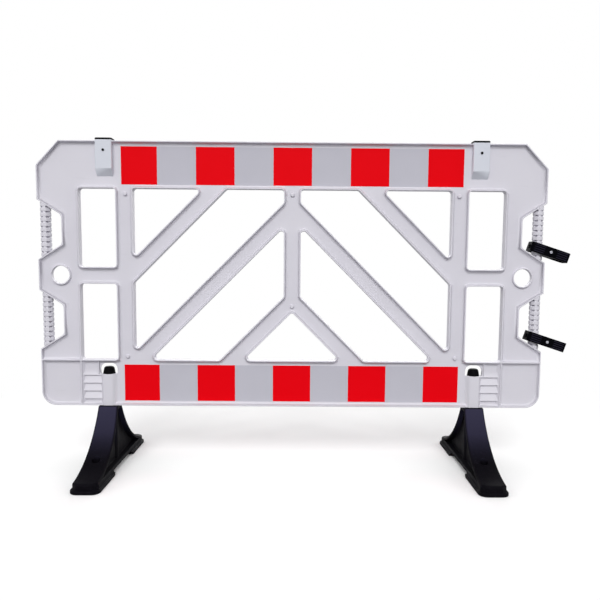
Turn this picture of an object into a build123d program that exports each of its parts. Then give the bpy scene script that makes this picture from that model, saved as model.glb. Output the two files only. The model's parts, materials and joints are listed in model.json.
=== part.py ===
from build123d import *
from math import cos, radians, sin, sqrt
import os

os.makedirs("parts", exist_ok=True)

# Portable construction barrier: an open moulded panel that stands on two swivel feet,
# with retroreflective strips on both faces, two lamp brackets on the top rail and two
# clamp couplers on the ribbed posts of one end. Millimetres. X runs along the panel,
# Y through it and Z up. The origin is on the ground, midway between the four anchor holes.

# Panel moulding: a web at mid depth with an upright lip round every edge
panel_length = 1560
panel_bottom = 195
panel_top = 1010
panel_depth = 30
web_thickness = 4
lip_thickness = 4
lip_root = 8
bottom_corner_radius = 44
shoulder_width = 69
shoulder_drop = 74
shoulder_radius = 30

# Open lattice of the panel, as bars of one width; a brace level is the sum of x and z
# along the middle of a 45 degree brace
bar_width = 52
inner_post_x = 515
side_column_x = 680.5
mid_bar_z = 602.5
lower_rail_top = 340
upper_rail_bottom = 868
brace_levels = (1106.5, 817.5, 528.5)
opening_corner_radius = 9
corner_flat_angle = 45

# End notches, each spanned by a ribbed coupling post
notch_upper = (651, 832)
notch_lower = (373.5, 556)
notch_rise = 46
notch_outer_radius = 10
notch_inner_radius = 18
post_x = 758.5
post_width = 30
post_rib = 9
post_rib_step = 1
post_fin = 10.5
post_fin_pitch = 15.3

# Round hole in each end tab, with its collar
tab_hole_x = 715.5
tab_hole_z = 604
tab_hole_diameter = 55
tab_collar_wall = 4
tab_collar_depth = 18

# Foot sockets and their windows in the lower rail
foot_x = 573
socket_width = 54
socket_front = 29
socket_half_depth = 18
spigot_diameter = 28
running_clearance = 0.05
sill_z = 295
window_width = 52
window_height = 33
window_corner_radius = 18
window_rib = 3
window_rib_reach = 31
window_rib_depth = 20

# Stepped louvres beside each socket
louvre_inner_x = 594
louvre_first_z = 215.5
louvre_pitch = 25
louvre_count = 4
louvre_rise = 21
louvre_depth = 6

# Retroreflective film blocks
film_block = 118.4
film_end_block = 110.3
film_height = 114.5
film_gap = 0.5
film_thickness = 0.4
film_upper_z = 937.6
film_lower_z = 265.9

# Lamp brackets over the top lip, each with a pad on top
bracket_x = 573
bracket_width = 50
bracket_front = 20
bracket_top = 1012
bracket_face_bottom = 927
bracket_toe_z = 904
bracket_wall = 3
bracket_edge = 1.5
bracket_root_gap = 0.5
bracket_screw_z = 981
screw_diameter = 4
shank_sides = 8
screw_head_diameter = 8
screw_head_height = 2.5
screw_nut_height = 3.2
screw_clearance = 0.3
pad_length = 52
pad_width = 38
pad_thickness = 6
pad_corner = 4
pad_edge = 1.5

# Feet: a bell in side view, widening to a sole at each toe
foot_gap = 0.3
foot_half_length = 270
foot_neck_half_depth = 26
foot_neck_width = 60
foot_base_width = 76
foot_toe_y = 262
foot_toe_z = 28
foot_flank_radius = 289
foot_nose = 14
foot_edge = 4
sole_thickness = 10
sole_width = 86
sole_corner_radius = 24
arch_half_length = 95
arch_height = 14
flank_thickness = 11
foot_web_half = 17
column_diameter = 46
column_top_gap = 12
anchor_hole_y = 148
anchor_hole_diameter = 24

# Square spigot tip of a foot, and the domed cap pressed on it
tip_width = 14
tip_height = 17
cap_gap = 0.4
cap_sides = 16
cap_diameter = 38
cap_height = 22
cap_taper = 10
cap_crown = 5

# Couplers: two half blocks round two posts, drooping on the post that carries them
coupler_tilt = 18
coupler_upper_z = 695
coupler_lower_z = 417.5
coupler_spacing = 73
coupler_height = 30
coupler_wall = 3
coupler_corner = 10
coupler_bore_radius = 22.5
coupler_bore_sides = 32
coupler_split = 0.5
lug_reach = 3
lug_depth = 14
lug_height = 11
bolt_diameter = 6
bolt_clearance = 0.3
bolt_head_diameter = 9
bolt_head_height = 3.5
nut_across_flats = 10
nut_height = 5
nut_clearance = 0.1
coupler_opening = 4

# Values worked out from the driving dimensions
half_length = panel_length / 2
half_depth = panel_depth / 2
half_web = web_thickness / 2
half_bar = bar_width / 2
notch_x = side_column_x + half_bar
window_inner_x = inner_post_x + half_bar
window_outer_x = side_column_x - half_bar
brace_rise = bar_width * sqrt(2)
sides = (("left", -1), ("right", 1))
faces = (("front", -1), ("rear", 1))


def save(piece, label):
    """Name a finished piece and write it as its own STEP file."""
    piece.part.label = label
    export_step(piece.part, f"parts/{label}.step")


def notch_corners(low, high):
    """Corners of one end notch, from its lower mouth inwards and out again."""
    return (
        (half_length, low),
        (notch_x, low + notch_rise),
        (notch_x, high - notch_rise),
        (half_length, high),
    )


def brace_lines(level):
    """Upper and lower edge of a 45 degree brace, as the sum of x and z along each."""
    return level + brace_rise / 2, level - brace_rise / 2


def lattice_corners():
    """Corner lists of the braced openings in the right half of the panel."""
    first_top, first_low = brace_lines(brace_levels[0])
    second_top, second_low = brace_lines(brace_levels[1])
    third_top = brace_lines(brace_levels[2])[0]
    outer = inner_post_x - half_bar
    corner_triangle = (
        (outer, upper_rail_bottom),
        (first_top - upper_rail_bottom, upper_rail_bottom),
        (outer, first_top - outer),
    )
    upper_band = (
        (first_low - upper_rail_bottom, upper_rail_bottom),
        (half_bar, upper_rail_bottom),
        (half_bar, second_top - half_bar),
        (outer, second_top - outer),
        (outer, first_low - outer),
    )
    lower_band = (
        (half_bar, second_low - half_bar),
        (half_bar, third_top - half_bar),
        (third_top - lower_rail_top, lower_rail_top),
        (second_low - lower_rail_top, lower_rail_top),
    )
    return corner_triangle, upper_band, lower_band


# Outline of the panel, with square notch corners
with BuildSketch(Plane.XZ) as outline:
    with BuildLine():
        Polyline(
            (0, panel_bottom),
            (half_length, panel_bottom),
            *notch_corners(*notch_lower),
            *notch_corners(*notch_upper),
            (half_length, panel_top - shoulder_drop),
            (half_length - shoulder_width, panel_top),
            (0, panel_top),
            close=True,
        )
    make_face()
    end_corners = outline.vertices().filter_by_position(Axis.X, half_length - 1, half_length + 1)
    end_corners = end_corners.sort_by(Axis.Y)
    rail_corner = outline.vertices().sort_by_distance((half_length - shoulder_width, panel_top))[0]
    fillet(end_corners[0], bottom_corner_radius)
    fillet([end_corners[-1], rail_corner], shoulder_radius)
    mirror(about=Plane.YZ)

# Openings between the bars, with square corners
with BuildSketch(Plane.XZ) as openings:
    for low, high in (
        (lower_rail_top, mid_bar_z - half_bar),
        (mid_bar_z + half_bar, upper_rail_bottom),
    ):
        with Locations(((window_inner_x + window_outer_x) / 2, (low + high) / 2)):
            Rectangle(window_outer_x - window_inner_x, high - low)
    for corners in lattice_corners():
        with BuildLine():
            Polyline(*corners, close=True)
        make_face()
    mirror(about=Plane.YZ)
    apex_z = brace_lines(brace_levels[2])[1]
    with BuildLine():
        Polyline(
            (0, apex_z),
            (apex_z - lower_rail_top, lower_rail_top),
            (lower_rail_top - apex_z, lower_rail_top),
            close=True,
        )
    make_face()

# The same openings with rounded corners
with BuildSketch(Plane.XZ) as rounded_openings:
    add(openings.sketch_local)
    fillet(rounded_openings.vertices(), opening_corner_radius)

# Recess inside the lips, which follows each rounded corner with flats, and has a shelf rib and a
# divider at each lower corner
flat_length = opening_corner_radius * radians(corner_flat_angle)
with BuildSketch(Plane.XZ) as recess:
    add(outline.sketch_local)
    for opening in rounded_openings.sketch_local.faces():
        corners = []
        for edge in opening.outer_wire().order_edges():
            flats = round(edge.length / flat_length) if edge.geom_type == GeomType.CIRCLE else 1
            corners += [edge @ (i / flats) for i in range(flats)]
        with BuildLine():
            Polyline(*corners, close=True)
        make_face(mode=Mode.SUBTRACT)
    offset(amount=-lip_thickness, kind=Kind.INTERSECTION, mode=Mode.REPLACE)
    square_corner = opening_corner_radius + lip_thickness
    corner_shift = (opening_corner_radius - lip_thickness) / 2
    for side, sign in sides:
        with Locations((sign * (window_outer_x - corner_shift), lower_rail_top + corner_shift)):
            Rectangle(square_corner, square_corner, mode=Mode.SUBTRACT)
        with Locations((sign * (window_outer_x + half_length) / 2, lower_rail_top - lip_thickness / 2)):
            Rectangle(half_length - window_outer_x, lip_thickness, mode=Mode.SUBTRACT)
        with Locations((sign * (window_outer_x + lip_thickness / 2), (panel_bottom + lower_rail_top) / 2)):
            Rectangle(lip_thickness, lower_rail_top - panel_bottom, mode=Mode.SUBTRACT)

# Lattice of the bars, with every corner rounded
with BuildSketch(Plane.XZ) as lattice:
    add(outline.sketch_local)
    notch_levels = lattice.vertices().filter_by_position(Axis.Y, notch_lower[0] - 1, notch_upper[1] + 1)
    inner_corners = notch_levels.filter_by(lambda corner: abs(abs(corner.X) - notch_x) < 1)
    outer_corners = notch_levels.filter_by(lambda corner: abs(abs(corner.X) - half_length) < 1)
    fillet(inner_corners, notch_inner_radius)
    fillet(outer_corners, notch_outer_radius)
    add(rounded_openings.sketch_local, mode=Mode.SUBTRACT)

# Panel
with BuildPart() as panel:
    extrude(lattice.sketch, amount=half_depth, both=True)
    extrude(recess.sketch, amount=half_depth, both=True, mode=Mode.SUBTRACT)
    extrude(recess.sketch, amount=half_web, both=True)
    for root_y in (-half_web, half_web):
        roots = panel.edges().filter_by_position(Axis.Y, root_y - 0.01, root_y + 0.01)
        chamfer(roots, lip_root)

    # Louvres, on both faces
    for side, sign in sides:
        with BuildSketch(Plane.YZ.offset(sign * louvre_inner_x)):
            for step in range(louvre_count):
                low = louvre_first_z + step * louvre_pitch
                for face, outward in faces:
                    with BuildLine():
                        Polyline(
                            (0, low),
                            (outward * (half_web + louvre_depth), low),
                            (outward * half_web, low + louvre_rise),
                            (0, low + louvre_rise),
                            close=True,
                        )
                    make_face()
        extrude(amount=sign * (window_outer_x - louvre_inner_x))

    # Upright ribs beside the foot windows
    with BuildSketch(Plane.XY.offset(sill_z)):
        with Locations((-foot_x - window_rib_reach, 0), (foot_x + window_rib_reach, 0)):
            Rectangle(window_rib, window_rib_depth)
    extrude(amount=lower_rail_top - sill_z)

    # Collars of the tab holes
    with BuildSketch(Plane.XZ):
        with Locations((-tab_hole_x, tab_hole_z), (tab_hole_x, tab_hole_z)):
            Circle(tab_hole_diameter / 2 + tab_collar_wall)
    extrude(amount=tab_collar_depth / 2, both=True)

    # Tab holes and screw holes
    with BuildSketch(Plane.XZ):
        with Locations((-tab_hole_x, tab_hole_z), (tab_hole_x, tab_hole_z)):
            Circle(tab_hole_diameter / 2)
        with Locations((-bracket_x, bracket_screw_z), (bracket_x, bracket_screw_z)):
            RegularPolygon(screw_diameter / 2 + screw_clearance, shank_sides)
    extrude(amount=half_depth, both=True, mode=Mode.SUBTRACT)

    # Foot sockets, their bores and their windows
    with BuildSketch(Plane.XY.offset(panel_bottom)):
        with Locations((-foot_x, 0), (foot_x, 0)):
            Polygon(
                (-socket_width / 2, 0),
                (-socket_front / 2, -socket_half_depth),
                (socket_front / 2, -socket_half_depth),
                (socket_width / 2, 0),
                (socket_front / 2, socket_half_depth),
                (-socket_front / 2, socket_half_depth),
            )
    extrude(amount=sill_z - panel_bottom)
    with BuildSketch(Plane.XY.offset(panel_bottom)):
        with Locations((-foot_x, 0), (foot_x, 0)):
            Circle(spigot_diameter / 2 + running_clearance)
    extrude(amount=sill_z - panel_bottom, mode=Mode.SUBTRACT)
    with BuildSketch(Plane.XZ) as windows:
        with Locations((-foot_x, sill_z + window_height / 2), (foot_x, sill_z + window_height / 2)):
            Rectangle(window_width, window_height)
        fillet(windows.vertices().group_by(Axis.Y)[-1], window_corner_radius)
    extrude(amount=half_depth, both=True, mode=Mode.SUBTRACT)
save(panel, "panel")

# Ribbed coupling posts across the end notches
for side, sign in sides:
    for level, (low, high) in (("upper", notch_upper), ("lower", notch_lower)):
        fin_count = int((high - low) / post_fin_pitch)
        first_fin = (low + high - (fin_count - 1) * post_fin_pitch - post_fin) / 2
        with BuildPart() as post:
            with BuildSketch(Plane.XY.offset(low)):
                with Locations((sign * post_x, 0)):
                    Rectangle(post_width - 2 * post_rib_step, post_rib)
                    Rectangle(post_rib, post_width - 2 * post_rib_step)
            extrude(amount=high - low)
            with BuildSketch(*(Plane.XY.offset(first_fin + i * post_fin_pitch) for i in range(fin_count))):
                with Locations((sign * post_x, 0)):
                    RegularPolygon(post_width / 2, 8, major_radius=False, rotation=180 / 8)
            extrude(amount=post_fin)
            with BuildSketch(Plane.XZ):
                with BuildLine():
                    Polyline(*((sign * x, z) for x, z in notch_corners(low, high)), close=True)
                make_face()
            extrude(amount=post_width, both=True, mode=Mode.INTERSECT)
        save(post, f"coupling_post_{level}_{side}")

# Retroreflective film, red and white blocks in turn
end_block_x = 3.5 * film_block + film_end_block / 2
film_blocks = {
    "red": ((0, film_block), (2 * film_block, film_block), (end_block_x, film_end_block)),
    "white": ((film_block, film_block), (3 * film_block, film_block)),
}
for face, outward in faces:
    for level, centre_z in (("upper", film_upper_z), ("lower", film_lower_z)):
        for colour, blocks in film_blocks.items():
            with BuildPart() as film:
                with BuildSketch(Plane.XZ.offset(-outward * half_web)):
                    for centre_x, width in blocks:
                        with Locations((-centre_x, centre_z), (centre_x, centre_z)):
                            Rectangle(width - film_gap, film_height)
                extrude(amount=-outward * film_thickness)
            save(film, f"film_{face}_{level}_{colour}")

# Lamp brackets: a front and a rear shell that hook under the top lip
lip_underside = panel_top - lip_thickness
hook_y = half_web + lip_root + bracket_root_gap
hook_z = lip_underside - lip_root - bracket_root_gap
inner_face = bracket_front - bracket_wall
toe_slope = (bracket_face_bottom - bracket_toe_z) / (bracket_front - half_web)
toe_wall = bracket_wall * sqrt(1 + toe_slope**2)
for side, sign in sides:
    for face, outward in faces:
        with BuildPart() as bracket:
            with BuildSketch(Plane.YZ.offset(sign * bracket_x)):
                with BuildLine():
                    Polyline(
                        (outward * bracket_front, bracket_top),
                        (0, bracket_top),
                        (0, panel_top),
                        (outward * half_depth, panel_top),
                        (outward * half_depth, lip_underside),
                        (outward * hook_y, lip_underside),
                        (outward * half_web, hook_z),
                        (outward * half_web, bracket_toe_z),
                        (outward * bracket_front, bracket_face_bottom),
                        close=True,
                    )
                make_face()
            extrude(amount=bracket_width / 2, both=True)
            outer_face = bracket.faces().sort_by(Axis.Y)[0 if outward < 0 else -1]
            chamfer(outer_face.edges().filter_by(Axis.Z), bracket_edge)
            with BuildSketch(Plane.YZ.offset(sign * bracket_x)):
                with BuildLine():
                    Polyline(
                        (outward * half_web, hook_z - bracket_wall),
                        (outward * hook_y, lip_underside - bracket_wall),
                        (outward * inner_face, lip_underside - bracket_wall),
                        (outward * inner_face, bracket_face_bottom - bracket_wall * toe_slope + toe_wall),
                        (outward * half_web, bracket_toe_z + toe_wall),
                        close=True,
                    )
                make_face()
            extrude(amount=bracket_width / 2 - bracket_wall, both=True, mode=Mode.SUBTRACT)
            with BuildSketch(Plane.XZ):
                with Locations((sign * bracket_x, bracket_screw_z)):
                    RegularPolygon(screw_diameter / 2 + screw_clearance, shank_sides)
            extrude(amount=bracket_front, both=True, mode=Mode.SUBTRACT)
        save(bracket, f"lamp_bracket_{face}_{side}")

    with BuildPart() as pad:
        with BuildSketch(Plane.XY.offset(bracket_top)):
            with Locations((sign * bracket_x, 0)):
                Rectangle(pad_length, pad_width)
        extrude(amount=pad_thickness)
        chamfer(pad.edges().filter_by(Axis.Z), pad_corner)
        chamfer(pad.faces().sort_by(Axis.Z)[-1].edges(), pad_edge)
    save(pad, f"lamp_pad_{side}")

# Bracket screws, with heads on the front shells, and hexagon nuts on the rear shells
with BuildPart() as screws:
    for side, sign in sides:
        head_plane = Plane((sign * bracket_x, -bracket_front, bracket_screw_z), z_dir=(0, -1, 0))
        with BuildSketch(head_plane):
            RegularPolygon(screw_head_diameter / 2, 6)
        extrude(amount=screw_head_height)
        with BuildSketch(head_plane):
            RegularPolygon(screw_diameter / 2, shank_sides)
        extrude(amount=-2 * bracket_front - screw_nut_height)
save(screws, "bracket_screws")

with BuildPart() as screw_nuts:
    for side, sign in sides:
        with BuildSketch(Plane((sign * bracket_x, bracket_front, bracket_screw_z), z_dir=(0, 1, 0))):
            RegularPolygon(screw_head_diameter / 2, 6)
            RegularPolygon(screw_diameter / 2, shank_sides, mode=Mode.SUBTRACT)
        extrude(amount=screw_nut_height)
save(screw_nuts, "bracket_nuts")

# Feet, each with a spigot up through the socket, and the caps that hold them
foot_top = panel_bottom - foot_gap
cap_z = sill_z + cap_gap
pocket_floor = arch_height + flank_thickness
for side, sign in sides:
    centre = sign * foot_x
    middle = Plane.YZ.offset(centre)
    with BuildSketch(middle) as bell:
        with BuildLine():
            Line((-foot_neck_half_depth, foot_top), (foot_neck_half_depth, foot_top))
            RadiusArc((foot_neck_half_depth, foot_top), (foot_toe_y, foot_toe_z), -foot_flank_radius)
            Polyline(
                (foot_toe_y, foot_toe_z),
                (foot_toe_y, 0),
                (-foot_toe_y, 0),
                (-foot_toe_y, foot_toe_z),
            )
            RadiusArc((-foot_toe_y, foot_toe_z), (-foot_neck_half_depth, foot_top), -foot_flank_radius)
        make_face()
    with BuildSketch(middle) as pocket:
        add(bell.sketch_local)
        offset(amount=-flank_thickness, kind=Kind.INTERSECTION, mode=Mode.REPLACE)
        with Locations((0, pocket_floor)):
            Rectangle(2 * foot_toe_y, foot_top, align=(Align.CENTER, Align.MIN), mode=Mode.INTERSECT)

    with BuildPart() as foot:
        extrude(bell.sketch, amount=foot_base_width / 2, both=True)
        with BuildSketch(Plane.XZ):
            with BuildLine():
                Polyline(
                    (centre - foot_neck_width / 2, foot_top),
                    (centre + foot_neck_width / 2, foot_top),
                    (centre + foot_base_width / 2, 0),
                    (centre - foot_base_width / 2, 0),
                    close=True,
                )
            make_face()
        extrude(amount=foot_toe_y, both=True, mode=Mode.INTERSECT)
        noses = foot.faces().filter_by(Axis.Y)
        chamfer(noses.edges().filter_by(Axis.X, reverse=True), foot_nose)
        flanks = foot.faces().filter_by(GeomType.CYLINDER)
        flanks = flanks.filter_by(lambda skin: abs(skin.radius - foot_flank_radius) < 1)
        rims = flanks.edges().filter_by(lambda edge: edge.center().Z < foot_top - 1)
        chamfer(rims, foot_edge)

        # Side pockets, with a round column up the middle
        for face, outward in faces:
            extrude(
                pocket.sketch.moved(Location((outward * foot_web_half, 0, 0))),
                amount=outward * foot_base_width,
                mode=Mode.SUBTRACT,
            )
        with BuildSketch(Plane.XY.offset(arch_height)):
            with Locations((centre, 0)):
                Circle(column_diameter / 2)
        extrude(amount=foot_top - arch_height - column_top_gap)

        # Sole, arch and anchor holes
        with BuildSketch(Plane.XY):
            with Locations((centre, 0)):
                RectangleRounded(sole_width, 2 * foot_half_length, sole_corner_radius)
        extrude(amount=sole_thickness)
        with BuildSketch(middle):
            with BuildLine():
                Polyline(
                    (-arch_half_length - arch_height, 0),
                    (-arch_half_length, arch_height),
                    (arch_half_length, arch_height),
                    (arch_half_length + arch_height, 0),
                    close=True,
                )
            make_face()
        extrude(amount=sole_width, both=True, mode=Mode.SUBTRACT)
        with BuildSketch(Plane.XY):
            with Locations((centre, -anchor_hole_y), (centre, anchor_hole_y)):
                Circle(anchor_hole_diameter / 2)
        extrude(amount=foot_top, mode=Mode.SUBTRACT)

        # Spigot and its tip
        with BuildSketch(Plane.XY.offset(foot_top)):
            with Locations((centre, 0)):
                Circle(spigot_diameter / 2)
        extrude(amount=cap_z - foot_top)
        with BuildSketch(Plane.XY.offset(cap_z)):
            with Locations((centre, 0)):
                Rectangle(tip_width, tip_width)
        extrude(amount=tip_height)
    save(foot, f"foot_{side}")

    with BuildPart() as cap:
        with BuildSketch(Plane.XY.offset(cap_z)):
            with Locations((centre, 0)):
                RegularPolygon(cap_diameter / 2, cap_sides)
        extrude(amount=cap_height, taper=cap_taper)
        chamfer(cap.faces().sort_by(Axis.Z)[-1].edges(), cap_crown)
        with BuildSketch(Plane.XY.offset(cap_z)):
            with Locations((centre, 0)):
                Rectangle(tip_width, tip_width)
        extrude(amount=tip_height, mode=Mode.SUBTRACT)
    save(cap, f"foot_cap_{side}")

# Couplers on the posts of the right end
tilt = radians(coupler_tilt)
coupler_reach = coupler_bore_radius + coupler_wall
coupler_length = coupler_spacing + 2 * coupler_reach
bolt_hole_width = bolt_diameter + 2 * bolt_clearance
nut_corner_radius = nut_across_flats / sqrt(3)
bolt_tail = coupler_reach + nut_height + coupler_opening
for level, height in (("upper", coupler_upper_z), ("lower", coupler_lower_z)):
    lie = Plane((post_x, 0, height), x_dir=(cos(tilt), 0, -sin(tilt)), z_dir=(sin(tilt), 0, cos(tilt)))
    bolt_centre = lie.from_local_coords((coupler_spacing / 2, 0, 0))
    for face, outward in faces:
        with BuildPart() as half:
            with BuildSketch(lie):
                with Locations((coupler_spacing / 2, 0)):
                    RectangleRounded(coupler_length, 2 * coupler_reach, coupler_corner)
            extrude(amount=coupler_height / 2, both=True)
            with BuildSketch(lie):
                with Locations((coupler_spacing / 2, 0)):
                    Rectangle(coupler_length + 2 * lug_reach, lug_depth)
            extrude(amount=lug_height / 2, both=True)
            with BuildSketch(lie):
                with Locations((0, 0), (coupler_spacing, 0)):
                    RegularPolygon(coupler_bore_radius, coupler_bore_sides)
            extrude(amount=coupler_height, both=True, mode=Mode.SUBTRACT)
            split(bisect_by=Plane((0, outward * coupler_split, 0), z_dir=(0, outward, 0)), keep=Keep.TOP)
            with BuildSketch(Plane(bolt_centre, x_dir=lie.x_dir, z_dir=(0, outward, 0))):
                Rectangle(bolt_hole_width, bolt_hole_width)
            extrude(amount=coupler_reach, mode=Mode.SUBTRACT)
        save(half, f"coupler_{level}_{face}_half")

    head_plane = Plane(bolt_centre, z_dir=(0, -1, 0)).offset(coupler_reach)
    with BuildPart() as bolt:
        with BuildSketch(head_plane):
            RegularPolygon(bolt_head_diameter / 2, 6)
        extrude(amount=bolt_head_height)
        with BuildSketch(head_plane):
            RegularPolygon(bolt_diameter / 2, shank_sides)
        extrude(amount=-coupler_reach - bolt_tail)
    save(bolt, f"coupler_bolt_{level}")

    with BuildPart() as nut:
        with BuildSketch(Plane(bolt_centre, z_dir=(0, 1, 0)).offset(coupler_reach)):
            RegularPolygon(nut_corner_radius, 6)
            RegularPolygon(bolt_diameter / 2 + nut_clearance, shank_sides, mode=Mode.SUBTRACT)
        extrude(amount=nut_height)
    save(nut, f"coupler_nut_{level}")
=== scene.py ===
# %% [markdown]
# A portable construction barrier, dressed around its CAD frame. The frame brings every part of the
# barrier at its real size and place, in metres, and the new pieces take theirs from it where they can.

import itertools
import json
import math

import bpy
from mathutils import Matrix, Vector

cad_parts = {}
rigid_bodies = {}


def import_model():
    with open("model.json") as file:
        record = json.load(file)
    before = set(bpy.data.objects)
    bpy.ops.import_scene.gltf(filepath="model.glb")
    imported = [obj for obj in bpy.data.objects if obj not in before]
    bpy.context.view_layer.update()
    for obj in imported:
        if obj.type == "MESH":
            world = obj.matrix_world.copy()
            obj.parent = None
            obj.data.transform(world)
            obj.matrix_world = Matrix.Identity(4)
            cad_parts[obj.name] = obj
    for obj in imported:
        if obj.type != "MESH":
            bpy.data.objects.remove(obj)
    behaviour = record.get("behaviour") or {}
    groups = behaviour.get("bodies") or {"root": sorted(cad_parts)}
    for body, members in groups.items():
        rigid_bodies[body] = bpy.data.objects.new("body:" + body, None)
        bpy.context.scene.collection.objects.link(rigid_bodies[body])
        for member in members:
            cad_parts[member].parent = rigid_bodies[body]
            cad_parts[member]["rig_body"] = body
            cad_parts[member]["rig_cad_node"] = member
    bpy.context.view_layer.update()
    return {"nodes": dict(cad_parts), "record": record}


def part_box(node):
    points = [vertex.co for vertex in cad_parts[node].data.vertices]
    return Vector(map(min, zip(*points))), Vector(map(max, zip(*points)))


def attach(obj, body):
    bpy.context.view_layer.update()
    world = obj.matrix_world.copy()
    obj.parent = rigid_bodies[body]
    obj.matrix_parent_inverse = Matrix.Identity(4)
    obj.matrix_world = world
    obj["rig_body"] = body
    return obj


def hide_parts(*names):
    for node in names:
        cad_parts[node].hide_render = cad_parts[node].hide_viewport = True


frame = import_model()
MM = 0.001
bodies = frame["record"]["behaviour"]["bodies"]
body_of_node = {node: body for body, members in bodies.items() for node in members}
slot_of_node = {row["node"]: row["material_slot"] for row in frame["record"]["subparts"]}

# %% [markdown]
# The camera stands about two metres in front of the panel, a little above the middle of it, and looks
# five degrees down. A camera can be turned by its three angles, or by giving it three directions. The
# directions are used here, because the small roll then turns the picture about the line of sight alone.
# The two shifts move the picture the way a cropped photograph moves it.

# %% Camera
YAW, PITCH, ROLL = (math.radians(angle) for angle in (0.3520, 5.3636, 0.4440))
CAMERA_PLACE = Vector((24.126, -1994.025, 657.784)) * MM
LENS_MM, SENSOR_MM = 38.417, 36
SHIFT = (-0.005833, 0.031667)

forward = Vector((math.sin(YAW) * math.cos(PITCH), math.cos(YAW) * math.cos(PITCH), -math.sin(PITCH)))
level_right = Vector((math.cos(YAW), -math.sin(YAW), 0))
level_up = level_right.cross(forward)
right = level_right * math.cos(ROLL) + level_up * math.sin(ROLL)
up = level_up * math.cos(ROLL) - level_right * math.sin(ROLL)

camera_data = bpy.data.cameras.new("front_camera")
camera_data.sensor_width = SENSOR_MM
camera_data.lens = LENS_MM
camera_data.shift_x, camera_data.shift_y = SHIFT
camera = bpy.data.objects.new("front_camera", camera_data)
turned_axes = Matrix((right, up, -forward)).transposed().to_4x4()
camera.matrix_world = Matrix.Translation(CAMERA_PLACE) @ turned_axes
bpy.context.scene.collection.objects.link(camera)
bpy.context.scene.camera = camera
print("camera at", [round(v, 3) for v in CAMERA_PLACE], "lens", LENS_MM)

# %% [markdown]
# World, floor and finishes are all made of nodes. Two small helpers keep that short: one turns a colour
# as it is read off a screen into the linear numbers that a shader works with, and one adds a node, sets
# it and links it. The sockets of a Mix node are counted, because its colours and its plain numbers go by
# the same names.


# %% Helpers for nodes
MIX_FACTOR = 0
NUMBER_A, NUMBER_B = 2, 3
COLOUR_A, COLOUR_B, COLOUR_OUT = 6, 7, 2


def colour(text):
    """An sRGB hex value such as "#CFCDD6" as linear red, green, blue and alpha."""
    channels = [int(text[i:i + 2], 16) / 255 for i in (1, 3, 5)]
    linear = [c / 12.92 if c <= 0.04045 else ((c + 0.055) / 1.055) ** 2.4 for c in channels]
    return (*linear, 1.0)


def add_node(tree, kind, inputs=None, **settings):
    """Add a node, set its properties, and fill its inputs with values or with other nodes' outputs."""
    node = tree.nodes.new(kind)
    for name, value in settings.items():
        setattr(node, name, value)
    for name, value in (inputs or {}).items():
        if isinstance(value, bpy.types.NodeSocket):
            tree.links.new(value, node.inputs[name])
        else:
            node.inputs[name].default_value = value
    return node


# %% [markdown]
# The barrier stands in a pale studio. The world gives the fill light. It could be one even grey, but here
# it is brighter to the two sides, so that the inner walls of the openings stay pale, and nothing comes
# from under the floor. The camera sees the world as plain white, straight or mirrored in metal, which a
# Light Path node tells apart from the light that falls on the barrier.


# %% World
WORLD_FILL, WORLD_SIDE = 0.40, 1.00
HORIZON_FADE = (-0.05, 0.0)
WHITE = colour("#FFFFFF")


def seen_directly(tree):
    """One on the way from the camera, also by way of metal or glass, and zero for light on the barrier."""
    ray = add_node(tree, "ShaderNodeLightPath")
    seen = ray.outputs["Is Camera Ray"]
    for kind in ("Is Glossy Ray", "Is Transmission Ray"):
        either = add_node(tree, "ShaderNodeMath", {0: seen, 1: ray.outputs[kind]}, operation="MAXIMUM")
        seen = either.outputs[0]
    return seen


bpy.context.scene.view_settings.view_transform = "Standard"
world = bpy.data.worlds.new("studio")
world.use_nodes = True
bpy.context.scene.world = world
sky = world.node_tree
sky.nodes.clear()
direction = add_node(sky, "ShaderNodeTexCoord").outputs["Generated"]
view = add_node(sky, "ShaderNodeSeparateXYZ", {0: direction})
sides = add_node(sky, "ShaderNodeMath", {0: view.outputs["X"], 1: view.outputs["X"]}, operation="MULTIPLY")
fill = add_node(sky, "ShaderNodeMath", {0: sides.outputs[0], 1: WORLD_SIDE, 2: WORLD_FILL},
                operation="MULTIPLY_ADD")
above = add_node(sky, "ShaderNodeMapRange", {"Value": view.outputs["Z"], "From Min": HORIZON_FADE[0],
                                             "From Max": HORIZON_FADE[1]})
fill = add_node(sky, "ShaderNodeMath", {0: fill.outputs[0], 1: above.outputs[0]}, operation="MULTIPLY")
strength = add_node(sky, "ShaderNodeMix", {MIX_FACTOR: seen_directly(sky), NUMBER_A: fill.outputs[0],
                                           NUMBER_B: 1.0})
background = add_node(sky, "ShaderNodeBackground", {"Color": WHITE, "Strength": strength.outputs[0]})
add_node(sky, "ShaderNodeOutputWorld", {"Surface": background.outputs[0]})
print("world", WORLD_FILL, "and", WORLD_FILL + WORLD_SIDE, "to the sides")

# %% [markdown]
# The floor is a wide matt plane. For the light that bounces off it, it is a middle grey, so that the
# under sides of the barrier are not lit from below. The camera sees it as white paper that keeps the
# barrier's shadow. Further out the paper fades into plain white, so that no edge of the floor shows.

# %% Floor
FLOOR_SIZE_M = 40
FLOOR_FADE_M = (0.75, 1.7)
FLOOR_BOUNCE = colour("#7C7C7E")

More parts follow.
